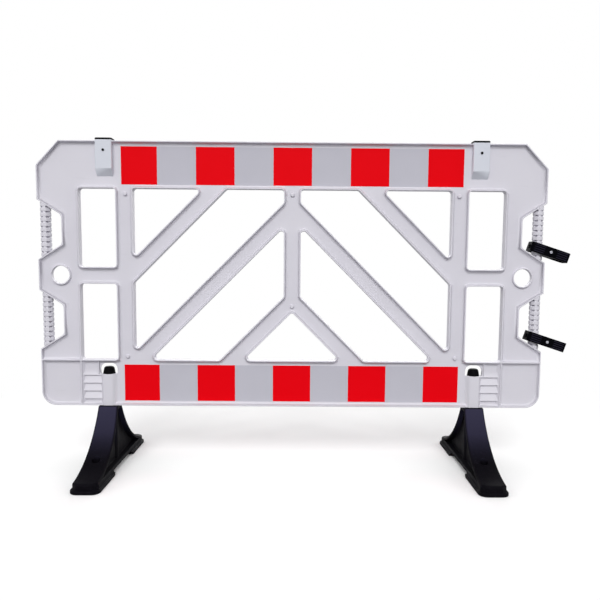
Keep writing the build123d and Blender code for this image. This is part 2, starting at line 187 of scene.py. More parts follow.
bpy.ops.object.select_all(action="DESELECT")
bpy.ops.mesh.primitive_plane_add(size=FLOOR_SIZE_M)
floor = bpy.context.active_object
floor.name = "floor"
floor_paint = bpy.data.materials.new("pale_floor")
floor_paint.use_nodes = True
tree = floor_paint.node_tree
tree.nodes.clear()
seen = seen_directly(tree)
tone = add_node(tree, "ShaderNodeMix", {MIX_FACTOR: seen, COLOUR_A: FLOOR_BOUNCE, COLOUR_B: WHITE},
                data_type="RGBA")
matt = add_node(tree, "ShaderNodeBsdfDiffuse", {"Color": tone.outputs[COLOUR_OUT]})
glow = add_node(tree, "ShaderNodeEmission", {"Color": WHITE, "Strength": 1.0})
place = add_node(tree, "ShaderNodeTexCoord").outputs["Object"]
distance = add_node(tree, "ShaderNodeVectorMath", {0: place}, operation="LENGTH")
fade = add_node(tree, "ShaderNodeMapRange", {"Value": distance.outputs["Value"], "From Min": FLOOR_FADE_M[0],
                                             "From Max": FLOOR_FADE_M[1]})
far = add_node(tree, "ShaderNodeMath", {0: fade.outputs[0], 1: seen}, operation="MULTIPLY")
both = add_node(tree, "ShaderNodeMixShader", {0: far.outputs[0], 1: matt.outputs[0], 2: glow.outputs[0]})
add_node(tree, "ShaderNodeOutputMaterial", {"Surface": both.outputs[0]})
floor.data.materials.append(floor_paint)
print("floor fades to white from", FLOOR_FADE_M[0], "to", FLOOR_FADE_M[1], "m")

# %% [markdown]
# One broad soft lamp shines from the front and above, and a second one lights the rear. Both are suns,
# which are as bright at the feet as at the top rail. An area lamp close by would be brighter at the top.
# A sun's angle says how large it looks, and so how soft its shadows are.

# %% Lamps
LAMP_DISTANCE_M = 6
LAMPS = (
    # name, angle round from the front, angle above the floor, spread of the light, brightness
    ("front_lamp", -4, 34, 30, 1.96),
    ("rear_lamp", 176, 18, 40, 1.1),
)
for name, round_angle, lift, spread, brightness in LAMPS:
    lamp_data = bpy.data.lights.new(name, "SUN")
    lamp_data.angle = math.radians(spread)
    lamp_data.energy = brightness
    lamp = bpy.data.objects.new(name, lamp_data)
    lamp.rotation_euler = (math.radians(90 - lift), 0, math.radians(round_angle))
    lamp.location = lamp.rotation_euler.to_matrix() @ Vector((0, 0, LAMP_DISTANCE_M))
    bpy.context.scene.collection.objects.link(lamp)
print(len(LAMPS), "lamps")

# %% [markdown]
# Every finish starts the same way: a new material, the constants on its shader, and the place of each
# point on the piece, which the patterns follow. Pattern sizes are given in millimetres and turned into
# texture scales.


# %% Helpers for finishes
finishes = {}


def start_finish(name, **sockets):
    """A new material with its shader's constant sockets set, and the place of each point on the piece."""
    material = bpy.data.materials.new(name)
    material.use_nodes = True
    tree = material.node_tree
    shader = tree.nodes["Principled BSDF"]
    for socket, value in sockets.items():
        shader.inputs[socket.replace("_", " ")].default_value = value
    place = add_node(tree, "ShaderNodeTexCoord").outputs["Object"]
    return material, tree, shader, place


def per_mm(size):
    """Texture scale at which one feature is about this many millimetres."""
    return 1 / (size * MM)


# %% [markdown]
# The panel and its posts are grey-white polyethylene, moulded in a textured tool. It shows as a soft
# satin skin with a faint violet cast, slightly cloudy colour, short scuffs along the panel from being
# carried and stacked, and road dust on the lower rail. The grain of the tool is a few tenths of a
# millimetre, which is too fine to show, so it is drawn at two millimetres.

# %% Moulded polyethylene
SCUFF_STRETCH = (0.09, 1.0, 1.0)
SPLASH_LOW, SPLASH_HIGH = 190 * MM, 330 * MM

polyethylene, tree, shader, place = start_finish("moulded_polyethylene", IOR=1.52, Specular_IOR_Level=0.5)
cloud = add_node(tree, "ShaderNodeTexNoise", {"Vector": place, "Scale": per_mm(180), "Detail": 3.0})
tone = add_node(tree, "ShaderNodeMix", {MIX_FACTOR: cloud.outputs[0], COLOUR_A: colour("#CDCBD4"),
                                        COLOUR_B: colour("#D6D4DC")}, data_type="RGBA")
stretched = add_node(tree, "ShaderNodeMapping", {"Vector": place, "Scale": SCUFF_STRETCH})
streaks = add_node(tree, "ShaderNodeTexNoise", {"Vector": stretched.outputs[0], "Scale": per_mm(9),
                                                "Detail": 5.0, "Roughness": 0.6})
scuff = add_node(tree, "ShaderNodeMapRange", {"Value": streaks.outputs[0], "From Min": 0.62, "From Max": 0.74,
                                              "To Max": 0.12})
scuffed = add_node(tree, "ShaderNodeMix", {MIX_FACTOR: scuff.outputs[0], COLOUR_A: tone.outputs[COLOUR_OUT],
                                           COLOUR_B: colour("#B4B0B8")}, data_type="RGBA")
height = add_node(tree, "ShaderNodeSeparateXYZ", {0: place})
splash = add_node(tree, "ShaderNodeMapRange", {"Value": height.outputs["Z"], "From Min": SPLASH_LOW,
                                               "From Max": SPLASH_HIGH, "To Min": 0.08, "To Max": 0.0})
dust = add_node(tree, "ShaderNodeTexNoise", {"Vector": place, "Scale": per_mm(35), "Detail": 6.0})
dusting = add_node(tree, "ShaderNodeMath", {0: splash.outputs[0], 1: dust.outputs[0]}, operation="MULTIPLY")
dusted = add_node(tree, "ShaderNodeMix", {MIX_FACTOR: dusting.outputs[0],
                                          COLOUR_A: scuffed.outputs[COLOUR_OUT],
                                          COLOUR_B: colour("#A59C96")}, data_type="RGBA")
satin = add_node(tree, "ShaderNodeMapRange", {"Value": streaks.outputs[0], "From Min": 0.3, "From Max": 0.75,
                                              "To Min": 0.44, "To Max": 0.58})
grain = add_node(tree, "ShaderNodeTexNoise", {"Vector": place, "Scale": per_mm(2), "Detail": 2.0})
bump = add_node(tree, "ShaderNodeBump", {"Height": grain.outputs[0], "Strength": 0.12, "Distance": 0.2 * MM})
tree.links.new(dusted.outputs[COLOUR_OUT], shader.inputs["Base Color"])
tree.links.new(satin.outputs[0], shader.inputs["Roughness"])
tree.links.new(bump.outputs[0], shader.inputs["Normal"])
finishes["panel_plastic"] = polyethylene
print(polyethylene.name, "has", len(tree.nodes), "nodes")

# %% [markdown]
# The lamp brackets are a second moulding, in a slightly bluer and smoother grade of the same plastic.
# They are newer than the panel, so they have no scuffs, only a little cloudiness and a finer skin.

# %% Bracket plastic
bracket_plastic, tree, shader, place = start_finish("smooth_polyethylene", IOR=1.52, Specular_IOR_Level=0.35)
cloud = add_node(tree, "ShaderNodeTexNoise", {"Vector": place, "Scale": per_mm(60), "Detail": 3.0})
tone = add_node(tree, "ShaderNodeMix", {MIX_FACTOR: cloud.outputs[0], COLOUR_A: colour("#CCCFD9"),
                                        COLOUR_B: colour("#D3D6DF")}, data_type="RGBA")
satin = add_node(tree, "ShaderNodeMapRange", {"Value": cloud.outputs[0], "To Min": 0.36, "To Max": 0.48})
grain = add_node(tree, "ShaderNodeTexNoise", {"Vector": place, "Scale": per_mm(1.6), "Detail": 2.0})
bump = add_node(tree, "ShaderNodeBump", {"Height": grain.outputs[0], "Strength": 0.08, "Distance": 0.15 * MM})
tree.links.new(tone.outputs[COLOUR_OUT], shader.inputs["Base Color"])
tree.links.new(satin.outputs[0], shader.inputs["Roughness"])
tree.links.new(bump.outputs[0], shader.inputs["Normal"])
finishes["bracket_plastic"] = bracket_plastic
print(bracket_plastic.name, "has", len(tree.nodes), "nodes")

# %% [markdown]
# The red and silver blocks are retroreflective film: a clear face over tiny sealed cells. The cells are
# drawn as a diamond net with a four millimetre pitch, a little paler on its seal lines. Each net is two
# sets of bands, turned either way, and the brighter of the two is kept. At a scale of one, the bands of a
# Wave texture repeat after a twentieth of a full turn, which sets the scale for a given pitch.

# %% Retroreflective film
CELL_MM = 4.0
NET_TURN = math.radians(32)
WAVE_REPEAT = 2 * math.pi / 20
FILM_COLOURS = {
    # slot: deeper tone, lighter tone, seal lines
    "film_red": ("#E3010C", "#E80312", "#EA1E2A"),
    "film_white": ("#B7B6C0", "#BFBEC8", "#D2D1D9"),
}
for slot, (deep, light, seal) in FILM_COLOURS.items():
    film, tree, shader, place = start_finish("sealed_" + slot, Roughness=0.4, IOR=1.5,
                                             Specular_IOR_Level=0.03)
    bands = []
    for turn in (NET_TURN, -NET_TURN):
        turned = add_node(tree, "ShaderNodeMapping", {"Vector": place, "Rotation": (0, turn, 0)})
        wave = add_node(tree, "ShaderNodeTexWave", {
            "Vector": turned.outputs[0], "Scale": WAVE_REPEAT * per_mm(CELL_MM)}, bands_direction="X")
        bands.append(wave.outputs["Fac"])
    net = add_node(tree, "ShaderNodeMath", {0: bands[0], 1: bands[1]}, operation="MAXIMUM")
    lines = add_node(tree, "ShaderNodeMapRange", {"Value": net.outputs[0], "From Min": 0.93, "From Max": 1.0,
                                                  "To Max": 0.35})
    cloud = add_node(tree, "ShaderNodeTexNoise", {"Vector": place, "Scale": per_mm(90), "Detail": 2.0})
    tone = add_node(tree, "ShaderNodeMix", {MIX_FACTOR: cloud.outputs[0], COLOUR_A: colour(deep),
                                            COLOUR_B: colour(light)}, data_type="RGBA")
    netted = add_node(tree, "ShaderNodeMix", {MIX_FACTOR: lines.outputs[0],
                                              COLOUR_A: tone.outputs[COLOUR_OUT],
                                              COLOUR_B: colour(seal)}, data_type="RGBA")
    bump = add_node(tree, "ShaderNodeBump", {"Height": lines.outputs[0], "Strength": 0.1,
                                             "Distance": 0.1 * MM})
    tree.links.new(netted.outputs[COLOUR_OUT], shader.inputs["Base Color"])
    tree.links.new(bump.outputs[0], shader.inputs["Normal"])
    finishes[slot] = film
print("film net of", CELL_MM, "mm cells")

# %% [markdown]
# The feet are pressed from recycled plastic, which is near black with a dull pebbled skin. The couplers,
# caps and pads are new black plastic and rubber with a finer skin. The ridges of the couplers get a paler
# tone, a painted highlight. One recipe serves them all with other numbers: two close tones in soft clouds,
# which also make the surface duller in places, and a pebbled bump.

# %% Dark plastics and rubber
DARK_FINISHES = {
    # slot: name, dark tone, light tone, shine, roughness from and to, size of the pebbles in mm
    "foot_plastic": ("recycled_vinyl", "#08070B", "#0C0B10", 0.02, 0.48, 0.64, 2.5),
    "cap_plastic": ("black_nylon_cap", "#040406", "#070709", 0.03, 0.42, 0.54, 1.5),
    "coupler_plastic": ("black_nylon", "#020204", "#040408", 0.02, 0.44, 0.60, 1.5),
    # Painted highlight: the ridges of the couplers are painted paler than the coupler itself
    "coupler_ridge_highlight": ("black_nylon_painted_highlight", "#22202D", "#2E2C3B", 0.03, 0.40, 0.52, 1.5),
    "pad_rubber": ("black_rubber", "#060608", "#0A0A0D", 0.05, 0.62, 0.80, 1.2),
}
for slot, (name, dark, light, shine, smoother, rougher, skin) in DARK_FINISHES.items():
    dark_finish, tree, shader, place = start_finish(name, IOR=1.53, Specular_IOR_Level=shine)
    cloud = add_node(tree, "ShaderNodeTexNoise", {"Vector": place, "Scale": per_mm(45), "Detail": 4.0})
    tone = add_node(tree, "ShaderNodeMix", {MIX_FACTOR: cloud.outputs[0], COLOUR_A: colour(dark),
                                            COLOUR_B: colour(light)}, data_type="RGBA")
    dull = add_node(tree, "ShaderNodeMapRange", {"Value": cloud.outputs[0], "From Min": 0.3, "From Max": 0.7,
                                                 "To Min": smoother, "To Max": rougher})
    pebbles = add_node(tree, "ShaderNodeTexNoise", {"Vector": place, "Scale": per_mm(skin), "Detail": 3.0})
    bump = add_node(tree, "ShaderNodeBump", {"Height": pebbles.outputs[0], "Strength": 0.2,
                                             "Distance": 0.3 * MM})
    tree.links.new(tone.outputs[COLOUR_OUT], shader.inputs["Base Color"])
    tree.links.new(dull.outputs[0], shader.inputs["Roughness"])
    tree.links.new(bump.outputs[0], shader.inputs["Normal"])
    finishes[slot] = dark_finish
print(len(DARK_FINISHES), "dark finishes")

# %% [markdown]
# The feet alone are mixed and weathered. Paler granules two to four millimetres across show as flecks.
# The faces of the neck that look forwards and backwards get a painted sheen: a violet grey, painted in
# for the light they catch, which fades out towards the toes. Road dust lies along the sole. Each of these
# is mixed over the one before it, and the last one takes the place of the plain tone on the shader.

# %% Weathering and painted sheen of the feet
FLECK_MM, FLECK_STRENGTH = 3, 0.25
# Heights over which the painted sheen fades in
SHEEN_FROM, SHEEN_FULL = 58 * MM, 125 * MM
DUST_HEIGHT, DUST_STRENGTH = 50 * MM, 0.07

tree = finishes["foot_plastic"].node_tree
base = tree.nodes["Principled BSDF"].inputs["Base Color"]
plain = base.links[0].from_socket
coordinates = add_node(tree, "ShaderNodeTexCoord")
place = coordinates.outputs["Object"]
granules = add_node(tree, "ShaderNodeTexVoronoi", {"Vector": place, "Scale": per_mm(FLECK_MM)})
chosen = add_node(tree, "ShaderNodeSeparateColor", {0: granules.outputs["Color"]})
fleck = add_node(tree, "ShaderNodeMapRange", {"Value": chosen.outputs[0], "From Min": 0.86, "From Max": 1.0,
                                              "To Max": FLECK_STRENGTH})
flecked = add_node(tree, "ShaderNodeMix", {MIX_FACTOR: fleck.outputs[0], COLOUR_A: plain,
                                           COLOUR_B: colour("#28242F")}, data_type="RGBA")
# Painted sheen: faces that look forwards and backwards, above a height, are painted a paler violet grey
facing = add_node(tree, "ShaderNodeSeparateXYZ", {0: coordinates.outputs["Normal"]})
forward_share = add_node(tree, "ShaderNodeMath", {0: facing.outputs["Y"], 1: facing.outputs["Y"]},
                         operation="MULTIPLY")
height = add_node(tree, "ShaderNodeSeparateXYZ", {0: place})
sheen_height = add_node(tree, "ShaderNodeMapRange", {"Value": height.outputs["Z"], "From Min": SHEEN_FROM,
                                                "From Max": SHEEN_FULL})
painted_sheen_mask = add_node(tree, "ShaderNodeMath", {0: forward_share.outputs[0], 1: sheen_height.outputs[0]},
                    operation="MULTIPLY")
sheened = add_node(tree, "ShaderNodeMix", {MIX_FACTOR: painted_sheen_mask.outputs[0],
                                           COLOUR_A: flecked.outputs[COLOUR_OUT],
                                           COLOUR_B: colour("#363449")}, data_type="RGBA")
splash = add_node(tree, "ShaderNodeMapRange", {"Value": height.outputs["Z"], "From Max": DUST_HEIGHT,
                                               "To Min": DUST_STRENGTH, "To Max": 0.0})
speckle = add_node(tree, "ShaderNodeTexNoise", {"Vector": place, "Scale": per_mm(14), "Detail": 6.0})
dusting = add_node(tree, "ShaderNodeMath", {0: splash.outputs[0], 1: speckle.outputs[0]},
                   operation="MULTIPLY")
dusted = add_node(tree, "ShaderNodeMix", {MIX_FACTOR: dusting.outputs[0],
                                          COLOUR_A: sheened.outputs[COLOUR_OUT],
                                          COLOUR_B: colour("#3A3740")}, data_type="RGBA")
tree.links.new(dusted.outputs[COLOUR_OUT], base)
print("feet painted sheen from", SHEEN_FROM / MM, "to", SHEEN_FULL / MM, "mm up")

# %% [markdown]
# The fasteners are steel. The coupler bolts are zinc plated, which is bright and slightly mottled. The
# bracket screws are blackened, so they keep the shine of metal at a low brightness. With these the set
# is complete, and every CAD node gets the finish of its slot.

# %% Steel
STEEL_FINISHES = {
    # slot: name, light tone, dark tone, roughness from and to
    "bright_steel": ("zinc_plated_steel", "#B0B0B8", "#9C9CA4", 0.26, 0.40),
    "dark_steel": ("blackened_steel", "#161618", "#0E0E10", 0.40, 0.55),
}
for slot, (name, light, dark, smoother, rougher) in STEEL_FINISHES.items():
    steel, tree, shader, place = start_finish(name, Metallic=1.0)
    spangle = add_node(tree, "ShaderNodeTexVoronoi", {"Vector": place, "Scale": per_mm(1.2)})
    chosen = add_node(tree, "ShaderNodeSeparateColor", {0: spangle.outputs["Color"]})
    tone = add_node(tree, "ShaderNodeMix", {MIX_FACTOR: chosen.outputs[0], COLOUR_A: colour(light),
                                            COLOUR_B: colour(dark)}, data_type="RGBA")
    dull = add_node(tree, "ShaderNodeMapRange", {"Value": chosen.outputs[1], "To Min": smoother,
                                                 "To Max": rougher})
    tree.links.new(tone.outputs[COLOUR_OUT], shader.inputs["Base Color"])
    tree.links.new(dull.outputs[0], shader.inputs["Roughness"])
    finishes[slot] = steel

for node, piece in frame["nodes"].items():
    piece.data.materials.clear()
    piece.data.materials.append(finishes[slot_of_node[node]])
print(len(finishes), "finishes on", len(frame["nodes"]), "nodes")

# %% [markdown]
# The pieces that follow are modelled as by hand: select, go into edit mode, change the mesh, come back.
# A few helpers do these moves. Operators act on whatever is selected, so one helper selects whole pieces
# and nothing else, and another selects faces by where they are and which way they look. A copy gets its
# own mesh, and its place goes into that mesh, so that every finished piece sits at the origin.


# %% Helpers for pieces
def choose(*pieces):
    """Select these pieces alone, with the first one active."""
    bpy.ops.object.select_all(action="DESELECT")
    for piece in pieces:
        piece.select_set(True)
    bpy.context.view_layer.objects.active = pieces[0]


def pick_faces(piece, test):
    """Go into edit mode with just the faces selected whose centre and normal pass the test."""
    bpy.ops.object.mode_set(mode="EDIT")
    bpy.ops.mesh.select_mode(type="FACE")
    bpy.ops.mesh.select_all(action="DESELECT")
    bpy.ops.object.mode_set(mode="OBJECT")
    for face in piece.data.polygons:
        face.select = test(face.center, face.normal)
    bpy.ops.object.mode_set(mode="EDIT")


def apply_modifier(piece, kind, **settings):
    """Add a modifier to a piece, set it and apply it."""
    modifier = piece.modifiers.new(kind.title(), kind)
    for name, value in settings.items():
        setattr(modifier, name, value)
    bpy.context.view_layer.objects.active = piece
    bpy.ops.object.modifier_apply(modifier=modifier.name)


def copy_piece(piece, name, shift, turn=0.0):
    """A copy of a piece with its own mesh, turned about Y and then moved."""
    choose(piece)
    bpy.ops.object.duplicate()
    copy = bpy.context.active_object
    copy.name = name
    copy.location = shift
    copy.rotation_euler.y = turn
    bpy.ops.object.transform_apply(location=True, rotation=True, scale=True)
    return copy


def join_pieces(pieces, name):
    """Join pieces into one mesh with this name."""
    choose(*pieces)
    bpy.ops.object.join()
    joined = bpy.context.active_object
    joined.name = name
    return joined


def settle(piece, body, slot, *nodes):
    """Give a finished piece its finish and its body, and hide the nodes it stands for."""
    piece.data.materials.clear()
    piece.data.materials.append(finishes[slot])
    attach(piece, body)
    if nodes:
        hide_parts(*nodes)


# %% [markdown]
# The shading of a moulding has to look flat on its broad faces and soft on its slopes and rounded edges.
# Smooth shading alone would spread the turn of an edge over the face beside it. Weighted normals put that
# right: each face has a strength, and where faces meet, the strongest one sets the shading. The broad
# faces are made strong and the slopes medium. The louvres of the panel, and the slopes that its foot
# windows cut through, have long thin corners, so they are shaded flat.


# %% Helpers for shading
STRAIGHT, SIDEWAYS = 0.995, 0.02  # how much of a normal lies along Y, at the least and at the most
# Low and high corners of two places on the panel in mm, the same on all four sides of its middle
LOUVRES = ((593, 3, 213), (654, 40, 294))
WINDOW_SLOPES = ((540, -1, 317), (614, 40, 346))


def in_place(point, place):
    """Whether a point, or the same point on another side of the panel's middle, is in this place."""
    mirrored = (abs(point.x), abs(point.y), point.z)
    return all(low * MM < value < high * MM for low, value, high in zip(place[0], mirrored, place[1]))


def squarely(centre, normal):
    """Whether a face looks straight forwards, straight backwards or at right angles to that."""
    return abs(normal.y) > STRAIGHT or abs(normal.y) < SIDEWAYS


def stays_flat(centre, normal):
    """Whether a face is on the louvres or on a slope over the window of a foot."""
    on_slope = in_place(centre, WINDOW_SLOPES) and not squarely(centre, normal)
    return on_slope or in_place(centre, LOUVRES)


def weigh(piece):
    """Let the broad faces of a piece outweigh its slopes, where the two share the shading of a corner."""
    choose(piece)
    for strength, test in (("MEDIUM", lambda centre, normal: True), ("STRONG", squarely)):
        pick_faces(piece, test)
        bpy.ops.mesh.mod_weighted_strength(set=True, face_strength=strength)
        bpy.ops.object.mode_set(mode="OBJECT")


def shade(piece, angle):
    """Shade everything flatter than this angle in degrees as one skin, in which the broad faces stay flat."""
    choose(piece)
    bpy.ops.object.shade_smooth_by_angle(angle=math.radians(angle))
    if piece.name.startswith("panel"):
        pick_faces(piece, stays_flat)
        bpy.ops.mesh.faces_shade_flat()
        bpy.ops.object.mode_set(mode="OBJECT")
    apply_modifier(piece, "WEIGHTED_NORMAL", keep_sharp=True, use_face_influence=True)


# %% [markdown]
# A moulding has no sharp edges: the tool is cut with small radii, and the plastic shrinks a little
# round them. The CAD nodes have the true forms with crisp edges, as loose triangles. So each moulded
# part gets a copy whose points are merged, and whose triangles are joined into clean faces. The broad
# faces that look forwards and backwards have holes in them, so those stay as triangles. A bevel then
# rounds the edges of the copy. On the louvres and round the foot windows a bevel would run into itself,
# so the edges there get no bevel weight and stay crisp.


# %% Helpers for soft edges
MERGE_DISTANCE = 0.01 * MM
LEVEL_ANGLE = math.radians(0.3)
BROAD = 0.99  # how much of a normal lies along Y on the broad front and rear faces
WINDOW_RIMS = ((540, -1, 296), (614, 3, 331))


def merged_copy(node, name):
    """Copy a CAD node, merge its points and join its triangles, apart from the broad front and rear."""
    choose(frame["nodes"][node])
    bpy.ops.object.duplicate()
    piece = bpy.context.active_object
    piece.parent = None
    piece.name = name
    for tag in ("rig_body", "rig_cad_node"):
        del piece[tag]
    bpy.ops.object.mode_set(mode="EDIT")
    bpy.ops.mesh.select_all(action="SELECT")
    bpy.ops.mesh.customdata_custom_splitnormals_clear()
    bpy.ops.mesh.remove_doubles(threshold=MERGE_DISTANCE)
    bpy.ops.object.mode_set(mode="OBJECT")
    pick_faces(piece, lambda centre, normal: abs(normal.y) < BROAD)
    bpy.ops.mesh.dissolve_limited(angle_limit=LEVEL_ANGLE)
    bpy.ops.object.mode_set(mode="OBJECT")
    return piece


def stays_crisp(point):
    """Whether a point is on the louvres or on the rim of a foot window."""
    return in_place(point, LOUVRES) or in_place(point, WINDOW_RIMS)


def round_edges(piece, width, segments, angle):
    """Bevel the edges that turn more than this angle in degrees, apart from those that stay crisp."""
    weigh(piece)
    bpy.ops.object.mode_set(mode="EDIT")
    bpy.ops.mesh.select_mode(type="EDGE")
    bpy.ops.mesh.select_all(action="DESELECT")
    bpy.ops.mesh.edges_select_sharp(sharpness=math.radians(angle))
    bpy.ops.object.mode_set(mode="OBJECT")
    mesh = piece.data
    weights = mesh.attributes.new("bevel_weight_edge", "FLOAT", "EDGE")
    for edge in mesh.edges:
        crisp = all(stays_crisp(mesh.vertices[end].co) for end in edge.vertices)
        weights.data[edge.index].value = 1.0 if edge.select and not crisp else 0.0
    apply_modifier(piece, "BEVEL", width=width, segments=segments, limit_method="WEIGHT",
                   use_clamp_overlap=False, face_strength_mode="FSTR_NEW")


# %% [markdown]
# The softening differs from part to part. The lips of the panel and the edges of the feet are well
# rounded, and the brackets, posts and couplers are crisper. Edges that turn less than the given angle
# keep their shape, such as the slopes at the foot of a lip.

# %% Soften the mouldings
SOFTENED = (
    # start of the node's name, bevel in mm, its segments, edges sharper than, one skin below
    ("panel", 1.45, 3, 60, 62),
    ("coupling_post", 0.4, 1, 40, 30),
    ("lamp_bracket", 0.5, 2, 40, 32),
    ("lamp_pad", 0.8, 2, 30, 40),
    ("foot_left", 2.2, 3, 30, 50),
    ("foot_right", 2.2, 3, 30, 50),
    ("coupler_upper", 0.9, 2, 40, 40),
    ("coupler_lower", 0.9, 2, 40, 40),
)
softened = {}
for node in sorted(frame["nodes"]):
    for start, width, segments, sharper, skin in SOFTENED:
        if node.startswith(start):
            piece = merged_copy(node, node + "_moulding")
            round_edges(piece, width * MM, segments, sharper)
            shade(piece, angle=skin)
            settle(piece, body_of_node[node], slot_of_node[node], node)
            softened[node] = len(piece.data.polygons)
print("faces of the softened parts", softened)

# %% [markdown]
# Small round nubs stand on the web where the ejector pins of the mould pressed the panel out: at the
# head and foot of the inner posts and on the centre post, on both faces. One is modelled as a short
# cylinder with a rounded rim, sunk a little into the web, and the rest are copies of it.

# %% Ejector nubs
NUB_RADIUS, NUB_HEIGHT, NUB_SINK, NUB_RIM = 6.5 * MM, 6 * MM, 0.5 * MM, 3 * MM
WEB_FACE = 2 * MM
NUB_PLACES = ((-513, 852), (0, 853), (513, 852), (0, 510), (-513, 350), (513, 350))
LIE_ALONG_Y = (math.pi / 2, 0, 0)
MOSTLY = 0.9  # a face looks along an axis if this much of its normal does

bpy.ops.object.select_all(action="DESELECT")
bpy.ops.mesh.primitive_cylinder_add(vertices=32, radius=NUB_RADIUS, depth=NUB_HEIGHT + NUB_SINK,
                                    rotation=LIE_ALONG_Y)
bpy.ops.object.transform_apply(location=True, rotation=True, scale=True)
nub = bpy.context.active_object
pick_faces(nub, lambda centre, normal: abs(normal.y) > MOSTLY)
bpy.ops.mesh.bevel(offset=NUB_RIM, segments=3, affect="EDGES")
bpy.ops.object.mode_set(mode="OBJECT")
nubs = []
for (x, z), outward in itertools.product(NUB_PLACES, (-1, 1)):
    middle_y = outward * (WEB_FACE + (NUB_HEIGHT - NUB_SINK) / 2)
    nubs.append(copy_piece(nub, "nub", (x * MM, middle_y, z * MM)))
bpy.data.objects.remove(nub)
ejector_nubs = join_pieces(nubs, "ejector_nubs")
weigh(ejector_nubs)
shade(ejector_nubs, angle=40)
settle(ejector_nubs, "barrier", "panel_plastic")
print(len(nubs), "nubs")

# %% [markdown]
# The cap on each spigot is a squat black dome. It is turned from a cone, which narrows a little towards
# the top, and its upper rim is rounded off in one wide bevel. The right cap is a copy of the left one.

# %% Foot caps
CAP_TAPER, CAP_RIM = math.radians(10), 7 * MM
low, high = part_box("foot_cap_left")
to_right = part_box("foot_cap_right")[0] - low
radius, depth = (high.x - low.x) / 2, high.z - low.z
bpy.ops.object.select_all(action="DESELECT")
bpy.ops.mesh.primitive_cone_add(vertices=64, radius1=radius, radius2=radius - depth * math.tan(CAP_TAPER),
                                depth=depth, location=(low + high) / 2)
bpy.ops.object.transform_apply(location=True, rotation=True, scale=True)
left_cap = bpy.context.active_object
left_cap.name = "foot_cap_left_dome"
pick_faces(left_cap, lambda centre, normal: normal.z > MOSTLY)
bpy.ops.mesh.bevel(offset=CAP_RIM, segments=6, affect="EDGES")
bpy.ops.object.mode_set(mode="OBJECT")
weigh(left_cap)
shade(left_cap, angle=40)
right_cap = copy_piece(left_cap, "foot_cap_right_dome", to_right)
for cap, node in ((left_cap, "foot_cap_left"), (right_cap, "foot_cap_right")):
    settle(cap, body_of_node[node], "cap_plastic", node)
print("cap radius", round(radius / MM, 1), "mm, height", round(depth / MM, 1), "mm")

# %% [markdown]
# A bolt is turned on a lathe: a round head with a rounded rim and a socket for the key, a plain shank,
# and a thread at the tail. Here the head starts as a short cylinder. Its front face is bevelled, inset
# and pushed in for the socket. Its back face is inset to the shank's width and drawn out. At the tail it
# is drawn out again and again, narrower and wider in turn, so that it carries rings in place of a true
# helix.


# %% Helper for bolts
THREAD_WAIST = 0.84  # width of a groove, as a share of the shank


def turned_bolt(name, centre, front, rear, head, shank, socket, thread):
    """A bolt along Y, from front to rear.

    Head: radius, height, rim. Shank: radius. Socket: radius, depth. Thread: start, pitch.
    """
    head_radius, head_height, rim = head
    socket_radius, socket_depth = socket
    at, pitch = thread
    bpy.ops.object.select_all(action="DESELECT")
    bpy.ops.mesh.primitive_cylinder_add(vertices=24, radius=head_radius, depth=head_height,
                                        rotation=LIE_ALONG_Y,
                                        location=(centre.x, front + head_height / 2, centre.z))
    bpy.ops.object.transform_apply(location=True, rotation=True, scale=True)
    bolt = bpy.context.active_object
    bolt.name = name
    pick_faces(bolt, lambda place, normal: normal.y < -MOSTLY)
    bpy.ops.mesh.bevel(offset=rim, segments=4, affect="EDGES")
    bpy.ops.object.mode_set(mode="OBJECT")
    pick_faces(bolt, lambda place, normal: normal.y < -BROAD and place.y < front + MERGE_DISTANCE)
    bpy.ops.mesh.inset(thickness=head_radius - rim - socket_radius)
    bpy.ops.mesh.extrude_region_move(TRANSFORM_OT_translate={"value": (0, socket_depth, 0)})
    bpy.ops.object.mode_set(mode="OBJECT")
    pick_faces(bolt, lambda place, normal: normal.y > MOSTLY)
    bpy.ops.mesh.inset(thickness=head_radius - shank)
    bpy.ops.mesh.extrude_region_move(TRANSFORM_OT_translate={"value": (0, at - front - head_height, 0)})
    while at + pitch <= rear:
        for squeeze in (THREAD_WAIST, 1 / THREAD_WAIST):
            bpy.ops.mesh.extrude_region_move(TRANSFORM_OT_translate={"value": (0, pitch / 2, 0)})
            at += pitch / 2
            bpy.ops.transform.resize(value=(squeeze, 1, squeeze), center_override=(centre.x, at, centre.z))
    bpy.ops.object.mode_set(mode="OBJECT")
    weigh(bolt)
    shade(bolt, angle=35)
    return bolt


# %% [markdown]
# A nut is a hexagonal prism with softened corners and a round bore. The bore could be extruded through,
# but a prism has too few corners for a round hole, so a boolean cut drills it.


# %% Helper for nuts
NUT_CORNER = 0.1  # rounding of the corners, as a share of the radius


def bored_nut(name, low, high, bore):
    """A hexagon nut along Y that fills this box, with a round bore of this radius."""
    middle = (low + high) / 2
    radius, thickness = (high.z - low.z) / 2, high.y - low.y
    bpy.ops.object.select_all(action="DESELECT")
    bpy.ops.mesh.primitive_cylinder_add(vertices=6, radius=radius, depth=thickness, rotation=LIE_ALONG_Y,
                                        location=middle)
    bpy.ops.object.transform_apply(location=True, rotation=True, scale=True)
    nut = bpy.context.active_object
    nut.name = name
    pick_faces(nut, lambda place, normal: abs(normal.y) > MOSTLY)
    bpy.ops.mesh.bevel(offset=NUT_CORNER * radius, segments=3, affect="EDGES")
    bpy.ops.object.mode_set(mode="OBJECT")
    bpy.ops.object.select_all(action="DESELECT")
    bpy.ops.mesh.primitive_cylinder_add(vertices=24, radius=bore, depth=2 * thickness, rotation=LIE_ALONG_Y,
                                        location=middle)
    drill = bpy.context.active_object
    apply_modifier(nut, "BOOLEAN", operation="DIFFERENCE", object=drill, solver="EXACT")
    bpy.data.objects.remove(drill)
    weigh(nut)
    shade(nut, angle=30)
    return nut


# %% [markdown]
# Each coupler has one bright bolt through its middle, with the head in front and the nut behind. The
# bolt is longer than the closed coupler, so that the rear half can draw back along it. The lower bolt
# and nut are copies of the upper ones.

